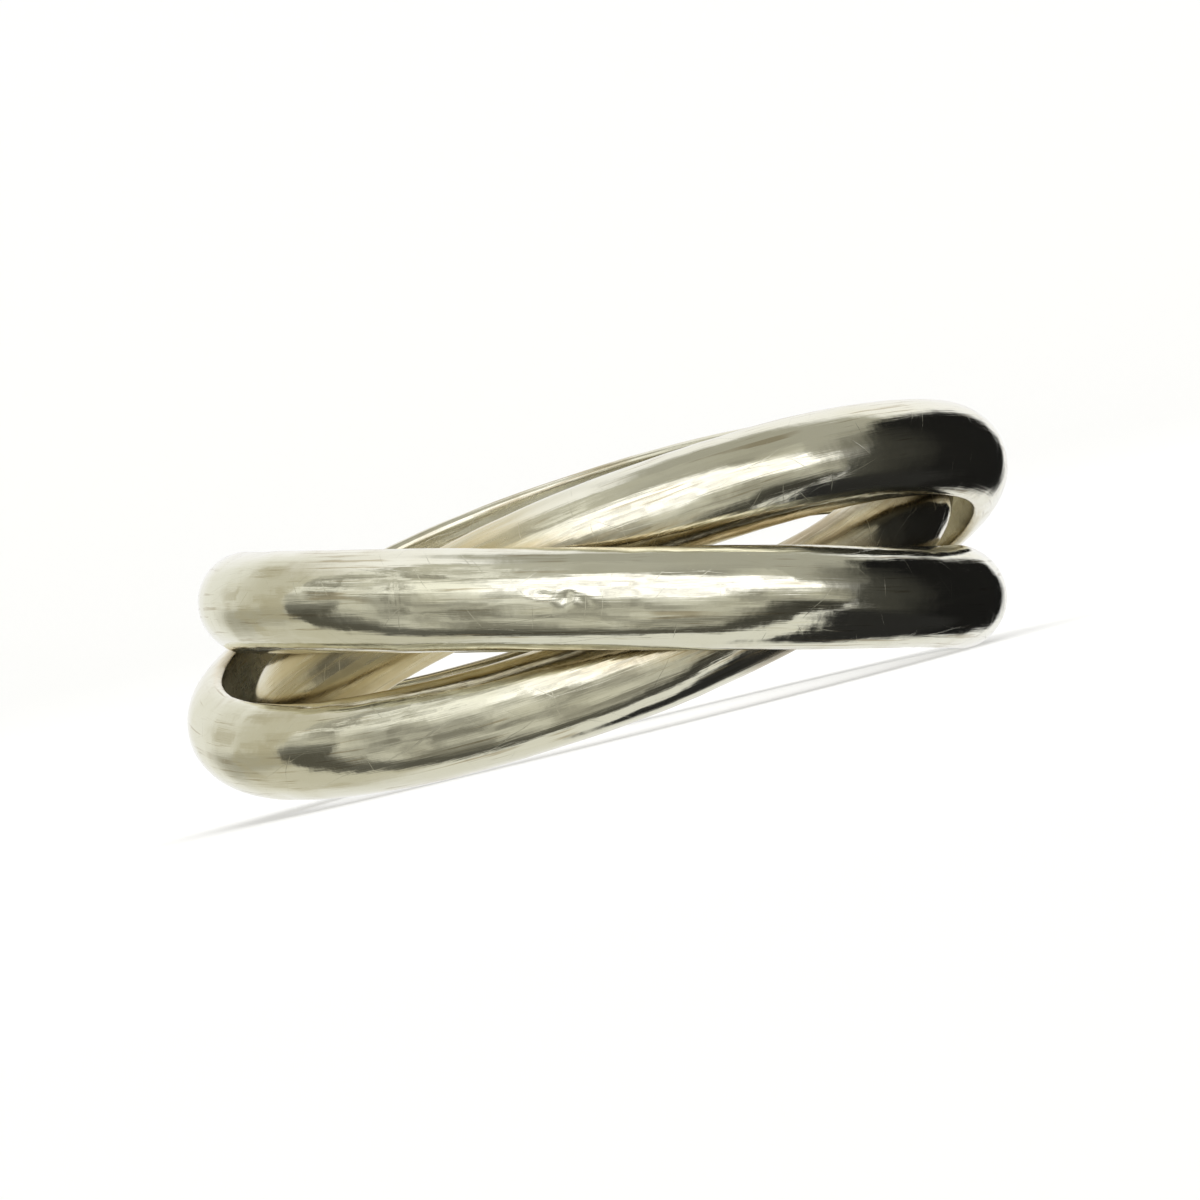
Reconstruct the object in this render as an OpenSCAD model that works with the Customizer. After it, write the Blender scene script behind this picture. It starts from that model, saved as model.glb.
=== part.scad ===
// Rolling ring: three linked hoops of half-round metal, fanned like a loose plait and lying on a
// level surface. All three hoops are alike. They differ only in the way each leans, a third of a
// turn from the next. Millimetres, +Z up, origin on the surface below the middle of the ring.

/* [Hoops] */
// Outside diameter of one hoop
band_od = 22.2; // [18:0.1:27]
// Width of one hoop along its own axis; the half-round section is half as thick
band_w = 2.84; // [2:0.02:3.2]
// Rounding where the flat inside meets the dome
rim_r = 0.2; // [0.05:0.05:0.3]

/* [How the hoops lie] */
// Lean of each hoop from level, in degrees
lean = 13.4; // [12:0.1:17]
// Clear gap where one hoop passes over the dome of the next
gap = 0.1; // [0.05:0.01:0.3]
// Turn of the whole ring on the surface, in degrees
turn = 0; // [-60:1:60]

/* [Hidden] */

// Facets of a full circle
$fn = 180;

// Half width of the section, which is also its thickness
half_w = band_w / 2;
// Radius of the flat inside face
inner_r = band_od / 2 - half_w;
// Rise of a hoop's middle line above and below its own centre
rise = inner_r * sin(lean);
// How far each hoop's centre stands off the middle axis. Two hoops cross with their sections moving
// round each other on an oval, sqrt(3) * off wide and sqrt(3) * rise high, and the tightest place
// is where the rim of the outer one comes over the crest of the inner one's dome.
off = (half_w + gap) / (sqrt(3) * sqrt(1 - pow(half_w / (sqrt(3) * rise), 2)));
// Height of every hoop's centre, so that the lowest point of each touches the surface
centre_h = inner_r * sin(lean) + half_w;
// Height of the two rounded rims' centres above and below the section's middle
rim_z = sqrt(pow(half_w, 2) - 2 * half_w * rim_r);
// Where a rounded rim runs into the dome
meet_x = rim_r * half_w / (half_w - rim_r);
meet_z = rim_z * half_w / (half_w - rim_r);

// What is taken off the sharp corner above (s = 1) or below (s = -1) to leave a round rim
module rim_cut(s) {
    difference() {
        polygon([[-half_w, s * rim_z], [rim_r, s * rim_z], [2 * meet_x - rim_r, s * (2 * meet_z - rim_z)],
                 [-half_w, s * (2 * meet_z - rim_z)]]);
        translate([rim_r, s * rim_z]) circle(r = rim_r);
    }
}

// Half-round section with its flat side on x = 0
module section() {
    difference() {
        circle(r = half_w);
        translate([-2 * half_w, -2 * half_w]) square([2 * half_w, 4 * half_w]);
        rim_cut(1);
        rim_cut(-1);
    }
}

// One closed hoop about the Z axis, centred on the origin
module hoop() {
    rotate_extrude() translate([inner_r, 0]) section();
}

// A hoop in its place. It stands farthest out towards the angle facing, and leans down to one side
module lying(facing) {
    rotate([0, 0, turn + facing])
        translate([off, 0, centre_h])
            rotate([-lean, 0, 0])
                hoop();
}

// Crosses over both others at the front
module band_front() { color([0.86, 0.86, 0.82]) lying(-90); }

// Farthest out at the right, and high at the front right
module band_right() { color([0.84, 0.84, 0.80]) lying(30); }

// Farthest out at the left, and low at the front left
module band_left() { color([0.88, 0.87, 0.82]) lying(150); }

band_front();
band_right();
band_left();
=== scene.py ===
import math

import bpy
import numpy as np
from mathutils import Matrix, Quaternion, Vector


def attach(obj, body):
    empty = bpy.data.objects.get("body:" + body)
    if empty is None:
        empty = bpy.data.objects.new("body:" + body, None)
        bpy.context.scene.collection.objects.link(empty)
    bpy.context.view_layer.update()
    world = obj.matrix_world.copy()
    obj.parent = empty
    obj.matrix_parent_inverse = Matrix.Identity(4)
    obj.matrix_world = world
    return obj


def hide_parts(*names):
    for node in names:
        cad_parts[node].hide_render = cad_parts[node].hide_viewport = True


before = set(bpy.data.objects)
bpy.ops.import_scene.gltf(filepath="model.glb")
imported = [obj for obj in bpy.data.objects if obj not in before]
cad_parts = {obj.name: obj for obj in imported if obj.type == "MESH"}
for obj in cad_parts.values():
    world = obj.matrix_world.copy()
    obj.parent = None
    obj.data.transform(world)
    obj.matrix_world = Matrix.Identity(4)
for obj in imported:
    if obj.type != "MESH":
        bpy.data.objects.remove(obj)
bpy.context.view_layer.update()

MM = 0.001
scene = bpy.context.scene

# ---------------------------------------------------------------- sizes, in millimetres

BAND_OD = 22.2
BAND_W = 2.84
RIM_R = 0.2
LEAN = math.radians(13.4)
GAP = 0.1

HALF_W = BAND_W / 2
INNER_R = BAND_OD / 2 - HALF_W
RISE = INNER_R * math.sin(LEAN)
OFF = (HALF_W + GAP) / (
    math.sqrt(3) * math.sqrt(1 - (HALF_W / (math.sqrt(3) * RISE)) ** 2)
)
CENTRE_H = RISE + HALF_W
RIM_Z = math.sqrt(HALF_W**2 - 2 * HALF_W * RIM_R)

# ---------------------------------------------------------------- camera

MID = Vector((0, 0, CENTRE_H)) * MM
AZIMUTH = math.radians(-3.4)
ELEVATION = math.radians(0.6)
ROLL = math.radians(13.9)
LENS = 600.0
SENSOR = 36.0
FRAME_W = 33.0 * MM

camera_data = bpy.data.cameras.new("camera")
camera_data.lens = LENS
camera_data.sensor_width = SENSOR
camera_data.sensor_fit = "AUTO"
camera_data.clip_start = 0.01
camera_data.clip_end = 10
camera = bpy.data.objects.new("camera", camera_data)
scene.collection.objects.link(camera)
scene.camera = camera

BACK = Vector(
    (
        math.sin(AZIMUTH) * math.cos(ELEVATION),
        -math.cos(AZIMUTH) * math.cos(ELEVATION),
        math.sin(ELEVATION),
    )
)
DISTANCE = FRAME_W * LENS / SENSOR
TURN = (-BACK).to_track_quat("-Z", "Y") @ Quaternion((0, 0, 1), -ROLL)
camera.rotation_mode = "QUATERNION"
camera.rotation_quaternion = TURN
camera.location = MID + BACK * DISTANCE

# The studio stands square to the picture: right, up and towards the camera
RIGHT = TURN @ Vector((1, 0, 0))
UP = TURN @ Vector((0, 1, 0))
NEAR = TURN @ Vector((0, 0, 1))


def at(right, up, near):
    """A place in the studio, in metres from the middle of the ring."""
    return MID + RIGHT * right + UP * up + NEAR * near


# ---------------------------------------------------------------- node helpers


class Tree:
    """Short calls for the nodes of a material or a world."""

    def __init__(self, name, group=bpy.data.materials):
        self.data = group.new(name)
        self.data.use_nodes = True
        self.t = self.data.node_tree
        self.t.nodes.clear()

    def node(self, kind, _in=None, **props):
        n = self.t.nodes.new(kind)
        for k, v in props.items():
            setattr(n, k, v)
        for k, v in (_in or {}).items():
            if isinstance(v, bpy.types.NodeSocket):
                self.t.links.new(v, n.inputs[k])
            else:
                n.inputs[k].default_value = v
        return n

    def math(self, op, a, b=None, c=None, clamp=False):
        values = {0: a}
        if b is not None:
            values[1] = b
        if c is not None:
            values[2] = c
        return self.node("ShaderNodeMath", values, operation=op, use_clamp=clamp).outputs[0]

    def vmath(self, op, a, b=None, scale=None):
        values = {0: a}
        if b is not None:
            values[1] = b
        if scale is not None:
            values["Scale"] = scale
        return self.node("ShaderNodeVectorMath", values, operation=op).outputs[0]

    def noise(self, vector, scale, detail=2.0, rough=0.5, distort=0.0):
        return self.node(
            "ShaderNodeTexNoise",
            {
                "Vector": vector,
                "Scale": scale,
                "Detail": detail,
                "Roughness": rough,
                "Distortion": distort,
            },
            noise_dimensions="3D",
        ).outputs["Fac"]

    def ramp(self, value, low, high, to_low=0.0, to_high=1.0, smooth=True):
        return self.node(
            "ShaderNodeMapRange",
            {
                "Value": value,
                "From Min": low,
                "From Max": high,
                "To Min": to_low,
                "To Max": to_high,
            },
            interpolation_type="SMOOTHSTEP" if smooth else "LINEAR",
            clamp=True,
        ).outputs["Result"]

    def mix(self, share, a, b):
        n = self.node("ShaderNodeMix", data_type="RGBA", blend_type="MIX")
        for socket, value in ((n.inputs[0], share), (n.inputs[6], a), (n.inputs[7], b)):
            if isinstance(value, bpy.types.NodeSocket):
                self.t.links.new(value, socket)
            else:
                socket.default_value = value
        return n.outputs[2]

    def dot(self, a, b):
        return self.node("ShaderNodeVectorMath", {0: a, 1: b}, operation="DOT_PRODUCT").outputs["Value"]

    def attribute(self, name):
        return self.node(
            "ShaderNodeAttribute", attribute_name=name, attribute_type="GEOMETRY"
        )


# ---------------------------------------------------------------- the bands

AROUND = 1200
FLAT_HALF = 8
RIM_STEPS = 6
DOME_HALF = 24


def profile():
    """The section's points and outward normals, once round, with the arc length at each: from the middle
    of the flat inside, over the upper rim and the dome, and back along the lower rim."""
    lean_out = math.atan2(RIM_Z, RIM_R)
    half = []
    for k in range(1, FLAT_HALF + 1):
        half.append((0.0, RIM_Z * k / FLAT_HALF, -1.0, 0.0))
    for k in range(1, RIM_STEPS + 1):
        a = math.pi + (lean_out - math.pi) * k / RIM_STEPS
        half.append(
            (RIM_R + RIM_R * math.cos(a), RIM_Z + RIM_R * math.sin(a), math.cos(a), math.sin(a))
        )
    for k in range(1, DOME_HALF):
        a = lean_out * (1 - k / DOME_HALF)
        half.append((HALF_W * math.cos(a), HALF_W * math.sin(a), math.cos(a), math.sin(a)))
    points = [(0.0, 0.0, -1.0, 0.0)]
    points += half
    points.append((HALF_W, 0.0, 1.0, 0.0))
    points += [(x, -z, nx, -nz) for x, z, nx, nz in reversed(half)]
    p = np.array(points)
    steps = np.hypot(*(np.roll(p[:, :2], -1, 0) - p[:, :2]).T)
    length = np.concatenate([[0], np.cumsum(steps)])
    return p[:, :2], p[:, 2:], length[:-1], length[-1]


def waves(theta, s, seed, longest, shortest, slope, count=70):
    """Unevenness of a polished surface in millimetres, closed round the band: ripples between two
    wavelengths, scaled to the mean slope that is asked for."""
    rng = np.random.default_rng(seed)
    out = np.zeros(np.broadcast(theta, s).shape)
    power = 0.0
    for _ in range(count):
        k = 2 * math.pi / math.exp(rng.uniform(math.log(shortest), math.log(longest)))
        way = rng.uniform(-0.5, 0.5) * math.pi
        n = max(1, round(k * math.cos(way) * (INNER_R + HALF_W)))
        m = k * math.sin(way) * 0.8
        size = k**-1.25
        out += size * np.sin(n * theta + m * s + rng.uniform(0, 2 * math.pi))
        power += (size * math.hypot(n / (INNER_R + HALF_W), m)) ** 2 / 2
    return out * slope / math.sqrt(power)


def dents(theta, s, spots):
    """Depth of the small dents, in millimetres. Each spot is an angle, a place across the section, a length
    along the band, a width across it, a depth and a slant."""
    out = np.zeros(np.broadcast(theta, s).shape)
    for angle, across, long_r, wide_r, depth, slant in spots:
        along = (theta - angle + math.pi) % (2 * math.pi) - math.pi
        u, v = along * (INNER_R + HALF_W), s - across
        c, n = math.cos(slant), math.sin(slant)
        d = ((u * c + v * n) / long_r) ** 2 + ((v * c - u * n) / wide_r) ** 2
        out += depth * np.exp(-d * 1.6)
    return out


def small_dents(seed, count):
    rng = np.random.default_rng(seed)
    spots = []
    for _ in range(count):
        r = 0.10 + 0.22 * rng.random() ** 2
        spots.append(
            (
                rng.uniform(0, 2 * math.pi),
                rng.uniform(-1.7, 1.7),
                r * rng.uniform(1.0, 2.6),
                r,
                r * rng.uniform(0.008, 0.022),
                rng.uniform(-0.7, 0.7),
            )
        )
    return spots


def make_band(name, node, body, facing, seed, own_dents):
    """One hoop in its place, standing for the CAD node of the same shape."""
    p, normal, length, whole = profile()
    n_across = len(p)
    # Arc length counted from the crown of the dome, positive upwards
    crown = length[1 + FLAT_HALF + RIM_STEPS + DOME_HALF - 1]
    s = crown - length
    theta = np.arange(AROUND) * 2 * math.pi / AROUND
    T, S = np.meshgrid(theta, s, indexing="ij")
    on_dome = 1 / (1 + np.exp((np.abs(S) - 2.0) * 12))
    push = waves(T, S, seed, 16.0, 4.0, 0.010) + waves(T, S, seed + 50, 3.2, 0.8, 0.014)
    push = push * (0.4 + 0.6 * on_dome) - 0.006
    push -= dents(T, S, own_dents + small_dents(seed + 100, 70)) * on_dome
    radial = INNER_R + p[None, :, 0] + normal[None, :, 0] * push
    height = p[None, :, 1] + normal[None, :, 1] * push
    local = np.stack([radial * np.cos(T), radial * np.sin(T), height], -1)

    turn = Matrix.Rotation(facing, 4, "Z")
    place = turn @ Matrix.Translation((OFF, 0, CENTRE_H)) @ Matrix.Rotation(-LEAN, 4, "X")
    m = np.array(place)
    world = (local.reshape(-1, 3) @ m[:3, :3].T + m[:3, 3]) * MM

    i, j = np.meshgrid(np.arange(AROUND), np.arange(n_across), indexing="ij")
    a = i * n_across + j
    b = ((i + 1) % AROUND) * n_across + j
    c = ((i + 1) % AROUND) * n_across + (j + 1) % n_across
    d = i * n_across + (j + 1) % n_across
    faces = np.stack([a, d, c, b], -1).reshape(-1, 4)

    mesh = bpy.data.meshes.new(name)
    mesh.from_pydata(world.tolist(), [], faces.tolist())
    mesh.polygons.foreach_set("use_smooth", np.ones(len(faces), bool))
    # Coordinates that follow the band: once round it, and across its section in millimetres
    along = mesh.attributes.new("along_band", "FLOAT_VECTOR", "POINT")
    ring = np.stack([np.cos(T), np.sin(T), S], -1).reshape(-1, 3)
    along.data.foreach_set("vector", ring.astype(np.float32).ravel())
    local_co = mesh.attributes.new("band_mm", "FLOAT_VECTOR", "POINT")
    local_co.data.foreach_set("vector", local.reshape(-1, 3).astype(np.float32).ravel())
    # Flat map of the surface: a third of the band in each of three rows, at one scale both ways
    third = AROUND // 3
    across_2 = np.append(length, whole)
    scale = 0.98 / (2 * math.pi / 3 * (INNER_R + HALF_W))
    col, row = i % third, i // third
    left_u = 0.01 + 0.98 * col / third
    right_u = 0.01 + 0.98 * (col + 1) / third
    low_v = 0.02 + row * 0.33 + across_2[j] * scale
    high_v = 0.02 + row * 0.33 + across_2[j + 1] * scale
    corners = [(left_u, low_v), (left_u, high_v), (right_u, high_v), (right_u, low_v)]
    flat_map = np.stack([np.stack(c, -1) for c in corners], 2).reshape(-1, 2)
    mesh.uv_layers.new(name="OFBake").data.foreach_set("uv", flat_map.astype(np.float32).ravel())
    mesh.update()
    obj = bpy.data.objects.new(name, mesh)
    scene.collection.objects.link(obj)
    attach(obj, body)
    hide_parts(node)
    return obj


front = make_band(
    "front_hoop",
    "band_front",
    "front",
    math.radians(-90),
    11,
    [
        (-0.150, 0.02, 0.30, 0.20, 0.048, 0.6),
        (-0.205, 0.12, 0.42, 0.14, 0.024, -0.1),
        (-0.105, -0.06, 0.34, 0.14, 0.016, -0.5),
        (-0.262, -0.28, 0.90, 0.12, 0.014, 0.05),
        (-0.59, 0.20, 0.10, 0.40, 0.014, 0.2),
    ],
)
right = make_band("right_hoop", "band_right", "right", math.radians(30), 22, [])
left = make_band("left_hoop", "band_left", "left", math.radians(150), 33, [(1.025, -1.18, 0.50, 0.30, 0.018, 0.2)])

# ---------------------------------------------------------------- polished silver


def silver(name, tone, offset, gloss, seed, stain=None):
    """stain: where along the band, in radians, a dull brown film lies, how far it reaches each way, and its
    colour."""
    k = Tree(name)
    mm = k.vmath("ADD", k.attribute("band_mm").outputs["Vector"], offset)
    ring = k.attribute("along_band").outputs["Vector"]
    xyz = k.node("ShaderNodeSeparateXYZ", {0: ring})
    across = xyz.outputs["Z"]
    along = k.math(
        "MULTIPLY",
        k.math("ARCTAN2", xyz.outputs["Y"], xyz.outputs["X"]),
        INNER_R + HALF_W,
    )
    off_centre = k.math("ABSOLUTE", across)

    # Hairlines that run round the band, from the bands rolling over each other
    def hairlines(around, across_scale, shift, low, high):
        v = k.vmath("MULTIPLY", ring, (around, around, across_scale))
        v = k.vmath("ADD", v, (shift, shift * 0.37, shift * 1.7))
        n = k.noise(v, 1.0, 3.0, 0.6)
        return k.ramp(n, low, high)

    fine = hairlines(11.0, 38.0, 3.1 + seed, 0.50, 0.72)
    broad = hairlines(4.0, 9.0, 8.3 + seed, 0.50, 0.75)
    # Long shallow waves along the band, left by the polishing wheel
    drawn = hairlines(1.6, 3.4, 5.9 + seed, 0.30, 0.70)

    # Straight short scratches with fine ends: each family is a slanted brickwork of long thin cells, and a few
    # of the cells hold one scratch each
    bend = k.math("MULTIPLY", k.math("SUBTRACT", k.noise(mm, 0.7, 1.0), 0.5), 0.3)

    def scratches(slant, length, width, share, number):
        c, n = math.cos(slant), math.sin(slant)
        u = k.math("ADD", k.math("MULTIPLY", along, c), k.math("MULTIPLY", across, n))
        v = k.math("SUBTRACT", k.math("MULTIPLY", across, c), k.math("MULTIPLY", along, n))
        v = k.math("ADD", v, bend)
        row = k.math("DIVIDE", v, width)
        row_n = k.math("FLOOR", row)
        shift = k.node(
            "ShaderNodeTexWhiteNoise",
            {"W": k.math("ADD", row_n, 0.37 + number * 13.7)},
            noise_dimensions="1D",
        ).outputs["Value"]
        cell = k.math("ADD", k.math("DIVIDE", u, length), k.math("MULTIPLY", shift, 7.0))
        where = k.node(
            "ShaderNodeCombineXYZ", {0: k.math("FLOOR", cell), 1: row_n, 2: number * 1.0}
        ).outputs[0]
        pick = k.node(
            "ShaderNodeTexWhiteNoise", {"Vector": where}, noise_dimensions="3D"
        ).outputs["Value"]
        held = k.ramp(pick, 1 - share, 1 - share * 0.4)
        ends = k.math("SINE", k.math("MULTIPLY", k.math("FRACT", cell), math.pi))
        side = k.math("ABSOLUTE", k.math("SUBTRACT", k.math("FRACT", row), 0.5))
        line = k.ramp(side, 0.42, 0.05)
        return k.math("MULTIPLY", k.math("MULTIPLY", held, ends), line)

    families = [
        (0.10, 3.4, 0.030, 0.020),
        (-0.22, 2.2, 0.034, 0.016),
        (0.65, 1.3, 0.030, 0.010),
        (-0.95, 1.0, 0.028, 0.008),
        (1.40, 0.8, 0.026, 0.006),
    ]
    lines = None
    for i, (slant, length, width, share) in enumerate(families):
        one = scratches(slant + 0.07 * seed, length, width, share, i + 1 + seed * 10)
        lines = one if lines is None else k.math("MAXIMUM", lines, one)

    patches = k.ramp(k.noise(mm, 0.35, 3.0, 0.55), 0.35, 0.75)
    cloud = k.ramp(k.noise(mm, 1.6, 4.0, 0.6), 0.4, 0.8)
    # Towards the rims and on the flat inside the polish is duller, and a brown film stays there
    inside = k.ramp(off_centre, 1.9, 2.7)
    rim = k.math("MULTIPLY", k.ramp(off_centre, 1.25, 2.1), k.ramp(off_centre, 2.9, 2.3))
    film = k.math("MULTIPLY", k.math("MAXIMUM", k.math("MULTIPLY", inside, 0.7), rim), k.ramp(k.noise(mm, 0.8, 5.0, 0.62), 0.42, 0.78))
    streaks = k.math("MULTIPLY", broad, k.ramp(k.noise(mm, 0.5, 2.0), 0.42, 0.66))
    # Thin brown marks of tarnish along the band, in places
    grime = k.math(
        "MULTIPLY", hairlines(2.6, 8.5, 12.7 + seed, 0.57, 0.64), k.ramp(k.noise(mm, 0.42, 2.0), 0.42, 0.58)
    )

    base = k.mix(patches, (*tone, 1), (tone[0] * 0.97, tone[1] * 0.96, tone[2] * 0.92, 1))
    base = k.mix(k.math("MULTIPLY", cloud, 0.22), base, (tone[0] * 0.92, tone[1] * 0.91, tone[2] * 0.84, 1))
    base = k.mix(k.math("MULTIPLY", streaks, 0.30), base, (tone[0] * 0.86, tone[1] * 0.83, tone[2] * 0.70, 1))
    base = k.mix(k.math("MULTIPLY", grime, 0.66), base, (0.47, 0.39, 0.24, 1))
    base = k.mix(k.math("MULTIPLY", film, 0.60), base, (0.56, 0.48, 0.31, 1))
    base = k.mix(k.math("MULTIPLY", lines, 0.20), base, (0.60, 0.58, 0.50, 1))
    # Golden brown where one band lies near the next, partly tarnish and partly painted shade, and a darker painted
    # shade in the crevices between them; both follow the ambient occlusion node
    open_ = k.node("ShaderNodeAmbientOcclusion", {"Distance": 0.0013}, samples=8).outputs["AO"]
    open_ = k.math("ADD", open_, k.math("MULTIPLY", k.noise(mm, 2.2, 4.0, 0.6), 0.24))
    # Painted shade mixed with tarnish: golden brown where the occlusion node finds another band close by
    tarnish_and_shade_near = k.math("MULTIPLY", k.ramp(open_, 1.04, 0.78), k.ramp(hairlines(3.2, 5.5, 21.3 + seed, 0.30, 0.62), 0.0, 1.0, 0.35, 1.0))
    # Less of the golden tone and of the painted crevice shade is put on the flat inside
    less_inside = k.math("SUBTRACT", 1.0, k.math("MULTIPLY", inside, 0.82))
    base = k.mix(k.math("MULTIPLY", k.math("MULTIPLY", tarnish_and_shade_near, 0.62), less_inside), base, (0.66, 0.53, 0.29, 1))
    # Painted shade: near-black brown in the crevices between the bands, where the occlusion node finds them most
    # closed in
    crevice_shade = k.math("MULTIPLY", k.ramp(open_, 0.80, 0.40), less_inside)
    base = k.mix(k.math("MULTIPLY", crevice_shade, 0.88), base, (0.17, 0.135, 0.075, 1))
    if stain:
        turn_to = k.node("ShaderNodeVectorMath", {0: ring, 1: (math.cos(stain[0]), math.sin(stain[0]), 0.0)}, operation="DOT_PRODUCT").outputs["Value"]
        gold = k.math(
            "MULTIPLY",
            k.ramp(turn_to, math.cos(stain[1]), math.cos(stain[1] * 0.5)),
            k.math("MULTIPLY", k.ramp(off_centre, 2.3, 1.9), k.ramp(hairlines(2.4, 4.2, 31.0, 0.36, 0.60), 0.0, 1.0, 0.45, 1.0)),
        )
        base = k.mix(k.math("MULTIPLY", gold, 0.70), base, (*stain[2], 1))

    rough = k.math("ADD", gloss, k.math("MULTIPLY", patches, 0.030))
    rough = k.math("ADD", rough, k.math("MULTIPLY", cloud, 0.025))
    rough = k.math("ADD", rough, k.math("MULTIPLY", inside, 0.16))
    rough = k.math("ADD", rough, k.math("MULTIPLY", film, 0.10))
    rough = k.math("ADD", rough, k.math("MULTIPLY", fine, 0.030))
    rough = k.math("ADD", rough, k.math("MULTIPLY", grime, 0.06))
    rough = k.math("ADD", rough, k.math("MULTIPLY", crevice_shade, 0.15))
    if stain:
        rough = k.math("ADD", rough, k.math("MULTIPLY", gold, 0.22))
    rough = k.math("ADD", rough, k.math("MULTIPLY", lines, 0.16), clamp=True)

    # Heights in thousandths of a millimetre
    height = k.math("MULTIPLY", fine, -0.35)
    height = k.math("ADD", height, k.math("MULTIPLY", broad, -1.3))
    height = k.math("ADD", height, k.math("MULTIPLY", drawn, 3.0))
    height = k.math("ADD", height, k.math("MULTIPLY", lines, -1.3))
    height = k.math("ADD", height, k.math("MULTIPLY", k.noise(mm, 1.7, 2.0, 0.5), 7.0))
    height = k.math("ADD", height, k.math("MULTIPLY", k.noise(mm, 5.5, 2.0, 0.5), 1.0))
    bump = k.node("ShaderNodeBump", {"Strength": 1.0, "Distance": 0.000001, "Height": height})

    shader = k.node(
        "ShaderNodeBsdfPrincipled",
        {"Base Color": base, "Metallic": 1.0, "Roughness": rough, "Normal": bump.outputs[0]},
    )
    out = k.node("ShaderNodeOutputMaterial")
    k.t.links.new(shader.outputs[0], out.inputs[0])
    return k.data


for obj, tone, shift, gloss, seed, stain in (
    (front, (0.935, 0.92, 0.80), (0.0, 0.0, 0.0), 0.058, 1, None),
    (right, (0.925, 0.905, 0.78), (17.0, 4.0, 9.0), 0.085, 2, (-2.86, 0.62, (0.80, 0.66, 0.36))),
    (left, (0.935, 0.915, 0.79), (-23.0, 12.0, -6.0), 0.068, 3, (2.68, 0.30, (0.44, 0.34, 0.19))),
):
    obj.data.materials.append(silver(obj.name + "_silver", tone, shift, gloss, seed, stain))

# ---------------------------------------------------------------- studio


def plain(name, colour, rough=0.9):
    k = Tree(name)
    mottle = k.noise(k.node("ShaderNodeTexCoord").outputs["Object"], 6.0, 3.0)
    tint = k.mix(
        k.math("MULTIPLY", mottle, 0.04), (*colour, 1), (*[c * 0.9 for c in colour], 1)
    )
    shader = k.node(
        "ShaderNodeBsdfPrincipled",
        {
            "Base Color": tint,
            "Roughness": rough,
            "Specular IOR Level": 0.2,
            "Emission Color": (1.0, 1.0, 0.995, 1),
            "Emission Strength": 0.43,
        },
    )
    out = k.node("ShaderNodeOutputMaterial")
    k.t.links.new(shader.outputs[0], out.inputs[0])
    return k.data


def bowl():
    """A pale floor that curves up into a low wall all round."""
    flat, curve, wall = 0.60, 0.16, 0.02
    line = [(flat * k / 8, 0.0) for k in range(9)]
    line += [
        (flat + curve * math.sin(a), curve * (1 - math.cos(a)))
        for a in (math.pi / 2 * k / 24 for k in range(1, 25))
    ]
    line += [(flat + curve, curve + wall)]
    n = 128
    verts = [(0.0, 0.0, 0.0)]
    for r, z in line[1:]:
        verts += [
            (r * math.cos(2 * math.pi * i / n), r * math.sin(2 * math.pi * i / n), z)
            for i in range(n)
        ]
    faces = [(0, 1 + i, 1 + (i + 1) % n) for i in range(n)]
    for k in range(len(line) - 2):
        o = 1 + k * n
        faces += [
            (o + i, o + n + i, o + n + (i + 1) % n, o + (i + 1) % n) for i in range(n)
        ]
    mesh = bpy.data.meshes.new("floor")
    mesh.from_pydata(verts, [], faces)
    mesh.polygons.foreach_set("use_smooth", [True] * len(faces))
    obj = bpy.data.objects.new("floor", mesh)
    scene.collection.objects.link(obj)
    mesh.materials.append(plain("floor_paper", (0.55, 0.55, 0.547)))
    return obj


floor = bowl()


# The metal mirrors the studio round it and not the paper that it lies on
floor.visible_glossy = False
floor.visible_shadow = False


def lamp(name, place, width, height, level, target=MID):
    """A soft box for the floor. level is the brightness of its face."""
    data = bpy.data.lights.new(name, "AREA")
    data.shape = "RECTANGLE"
    data.size, data.size_y = width, height
    data.energy = level * width * height * math.pi
    obj = bpy.data.objects.new(name, data)
    obj.location = place
    obj.rotation_mode = "QUATERNION"
    obj.rotation_quaternion = (target - place).to_track_quat("-Z", "Y")
    obj.visible_glossy = False
    scene.collection.objects.link(obj)
    return obj


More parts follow.
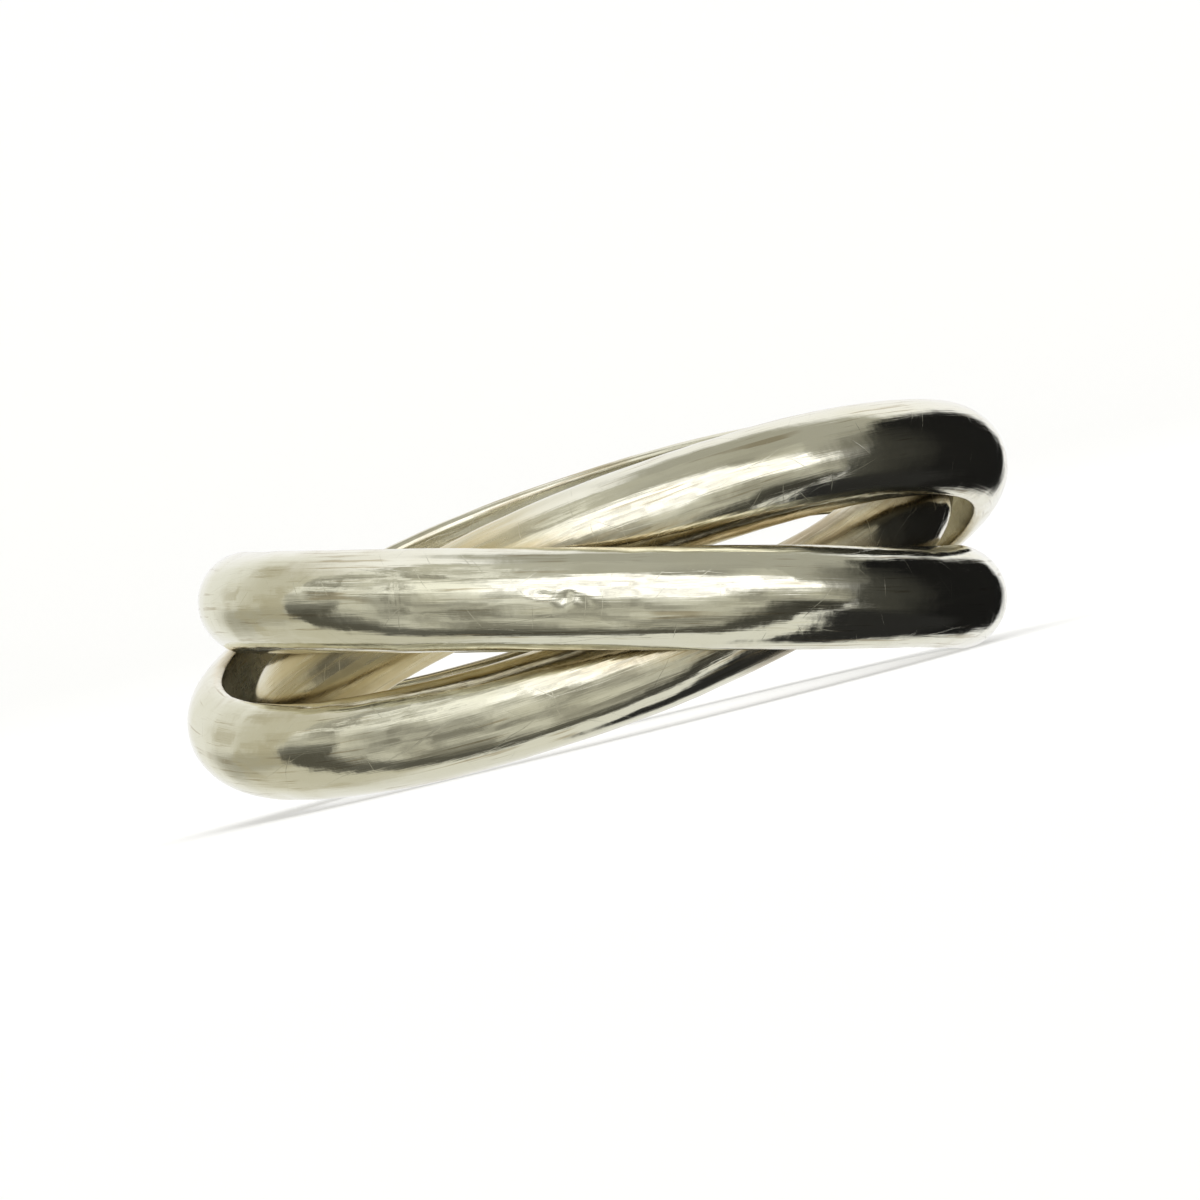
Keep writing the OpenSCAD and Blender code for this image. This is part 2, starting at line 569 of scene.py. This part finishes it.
def sky():
    """Light from all round, set out by direction: white paper behind the ring, a grey room in front of it
    with a thin dark line where the two meet, a soft box in front above, and a dark flag at the right."""
    k = Tree("studio", bpy.data.worlds)
    scene.world = k.data
    way = k.node("ShaderNodeTexCoord").outputs["Generated"]
    right = k.dot(way, tuple(RIGHT))
    up = k.dot(way, tuple(UP))
    near = k.dot(way, tuple(NEAR))
    high = k.math("MULTIPLY", k.math("ARCSINE", up), 180 / math.pi)
    round_ = k.math("MULTIPLY", k.math("ARCTAN2", right, near), 180 / math.pi)

    def both(*values):
        out = values[0]
        for v in values[1:]:
            out = k.math("MULTIPLY", out, v)
        return out

    def flat(level, tint=(1.0, 1.0, 1.0)):
        return (level * tint[0], level * tint[1], level * tint[2], 1)

    warm = (1.0, 0.985, 0.85)
    olive = (1.0, 0.97, 0.80)
    cream = (1.0, 1.0, 0.93)
    clutter = k.ramp(k.noise(way, 2.6, 3.0, 0.55, 0.4), 0.33, 0.68)
    torn = k.math("SUBTRACT", k.noise(way, 7.0, 3.0, 0.6), 0.5)
    # The outlines of the soft boxes are not quite straight
    high = k.math("ADD", high, k.math("MULTIPLY", torn, 9.0))
    round_ = k.math("ADD", round_, k.math("MULTIPLY", torn, 14.0))
    room = k.mix(clutter, flat(0.21, olive), flat(0.58, warm))
    # Higher in front the room is darker at the right and lighter at the left
    above = k.mix(k.ramp(right, -0.5, 0.3), flat(0.54, warm), flat(0.37, warm))
    room = k.mix(k.ramp(high, 40, 66, 0.0, 0.8), room, above)

    # Main soft box. It sags in the middle and tapers towards both ends, and its cloth is uneven
    middle = k.math("ABSOLUTE", k.math("SUBTRACT", round_, 8.0))
    top = k.math("ADD", high, k.math("MULTIPLY", middle, 0.34))
    bottom = k.math("SUBTRACT", high, k.ramp(middle, 12, 34, 0.0, 11.0))
    holes = k.math("MAXIMUM", k.ramp(k.noise(way, 4.6, 2.0), 0.40, 0.50), k.ramp(round_, -34, -14))
    box = both(k.ramp(bottom, -1, 7), k.ramp(top, 62, 53), k.ramp(round_, -84, -62), k.ramp(round_, 88, 70), holes)
    cloth = k.mix(k.ramp(k.noise(way, 9.0, 3.0), 0.36, 0.58), flat(0.86, (1, 0.98, 0.96)), flat(1.50))
    cloth = k.mix(k.ramp(round_, -50, -20), flat(0.98, cream), cloth)
    glow = both(k.ramp(high, -18, 2), k.ramp(high, 34, 24), k.ramp(round_, -60, -20), k.ramp(round_, 40, 16))
    # Broken lights at the left, above the streak
    broken = both(
        k.ramp(k.noise(k.vmath("MULTIPLY", way, (1.0, 1.0, 1.6)), 5.2, 2.0, 0.5), 0.50, 0.58),
        k.ramp(high, 6, 20),
        k.ramp(high, 78, 60),
        k.ramp(round_, -16, -40),
    )
    room = k.mix(k.math("MULTIPLY", glow, k.math("ADD", 0.12, k.math("MULTIPLY", clutter, 0.55))), room, flat(1.0, cream))
    room = k.mix(k.math("MULTIPLY", broken, 0.75), room, flat(0.90, cream))
    room = k.mix(box, room, cloth)

    # White paper behind, which falls off overhead, towards the bottom and low at the left
    paper = k.mix(k.ramp(up, -0.9, 0.1), flat(0.70, cream), flat(0.94))
    overhead = both(k.ramp(up, 0.25, 0.55), k.ramp(right, -0.34, -0.18), k.ramp(near, -0.64, -0.44))
    paper = k.mix(overhead, paper, flat(0.38, warm))
    # At the left it is duller towards the front, with a soft brown cast here and there
    beside = both(k.ramp(right, -0.10, -0.42), k.ramp(up, 0.85, 0.50))
    side = k.mix(k.ramp(near, -0.95, -0.42), flat(0.80, cream), flat(0.54, olive))
    lower = both(k.ramp(up, -0.04, -0.20), k.ramp(up, -0.52, -0.36), k.ramp(near, -0.92, -0.70))
    side = k.mix(lower, side, flat(0.38, olive))
    side = k.mix(
        both(k.ramp(k.noise(way, 3.4, 3.0, 0.6), 0.48, 0.62), k.ramp(near, -0.90, -0.60), 0.60),
        side,
        flat(0.38, (1, 0.91, 0.62)),
    )
    paper = k.mix(beside, paper, side)
    # The paper's edge lies aslant: nearer at the right than at the left, and nearer below than above
    edge = k.math("SUBTRACT", near, k.math("MULTIPLY", right, 0.24))
    edge = k.math("SUBTRACT", edge, k.ramp(right, 0.40, 0.76, 0.0, 0.17, smooth=False))
    edge = k.math("ADD", edge, k.ramp(right, 0.78, 0.97, 0.0, 0.22, smooth=False))
    edge = k.math("ADD", edge, k.math("MULTIPLY", torn, 0.10))
    light = k.mix(k.ramp(edge, -0.01, 0.03), paper, room)
    dark = both(
        k.ramp(edge, -0.05, 0.03),
        k.ramp(edge, 0.40, 0.20),
        k.ramp(up, 0.06, -0.22),
    )
    line = k.mix(k.ramp(right, 0.15, 0.55), flat(0.080, olive), flat(0.030, olive))
    light = k.mix(k.math("MULTIPLY", dark, 0.94), light, line)
    # It widens into a dark patch at the left end, which narrows downwards
    narrow = k.math("ADD", edge, k.ramp(up, -0.06, -0.50, 0.0, 0.24))
    wedge = both(
        k.ramp(edge, -0.05, 0.04),
        k.ramp(narrow, 0.45, 0.36),
        k.ramp(high, 3, -5),
        k.ramp(right, -0.55, -0.80),
    )
    patch = k.mix(k.ramp(high, -2, -17), flat(0.17, (1, 0.99, 0.84)), flat(0.080, (1, 0.95, 0.74)))
    light = k.mix(k.math("MULTIPLY", wedge, 0.90), light, patch)

    # A round dark flag at the right, behind, which is blackest in its farther part, and a dark corner below
    # its near edge
    flag = k.dot(way, tuple(RIGHT * math.sin(math.radians(113)) + NEAR * math.cos(math.radians(113))))
    flag = k.math("ADD", flag, k.math("MULTIPLY", torn, 0.08))
    # Its near edge is closer in, most of all in the middle of its height
    close = k.ramp(near, -0.38, -0.02)
    reach = k.math("SUBTRACT", 0.17, k.math("ADD", k.ramp(up, 0.30, 0.75, 0.0, 0.10), k.ramp(up, -0.20, -0.65, 0.0, 0.18)))
    flag = k.math("SUBTRACT", flag, k.math("MULTIPLY", close, reach))
    black = k.mix(k.ramp(round_, 70, 118, smooth=False), flat(0.075, warm), flat(0.008))
    soft = both(k.ramp(flag, 0.47, 0.64), k.ramp(near, -0.30, 0.0), k.ramp(up, -0.06, 0.12), 0.80)
    light = k.mix(soft, light, flat(0.12, olive))
    light = k.mix(k.ramp(flag, 0.61, 0.69), light, black)
    corner = k.math("ADD", k.math("SUBTRACT", near, k.math("MULTIPLY", right, 1.1)), 0.70)
    corner = both(k.ramp(corner, 0.03, -0.05), k.ramp(up, -0.30, -0.45), k.ramp(near, -0.72, -0.60), k.ramp(right, 0.18, 0.28))
    light = k.mix(corner, light, flat(0.020))

    # The metal mirrors all of this, and the paper gets an even light of about the same strength
    mirrored = k.node("ShaderNodeBackground", {"Color": light, "Strength": 1.0})
    even = k.node("ShaderNodeBackground", {"Color": flat(0.70, (1.0, 0.995, 0.95)), "Strength": 1.0})
    glossy = k.node("ShaderNodeLightPath").outputs["Is Glossy Ray"]
    both_lights = k.node("ShaderNodeMixShader", {0: glossy, 1: even.outputs[0], 2: mirrored.outputs[0]})
    out = k.node("ShaderNodeOutputWorld")
    k.t.links.new(both_lights.outputs[0], out.inputs[0])


sky()

# Soft light for the paper only: from overhead, and on the rise behind the ring
lamp("top", at(0.0, 0.60, 0.10), 1.00, 1.00, 0.75)
lamp("rise", at(0.0, 0.30, 0.10), 0.60, 0.20, 2.0, at(0.0, 0.05, -0.75))

scene.view_settings.view_transform = "Standard"
scene.view_settings.look = "None"
scene.view_settings.exposure = 0.0
scene.view_settings.gamma = 1.0
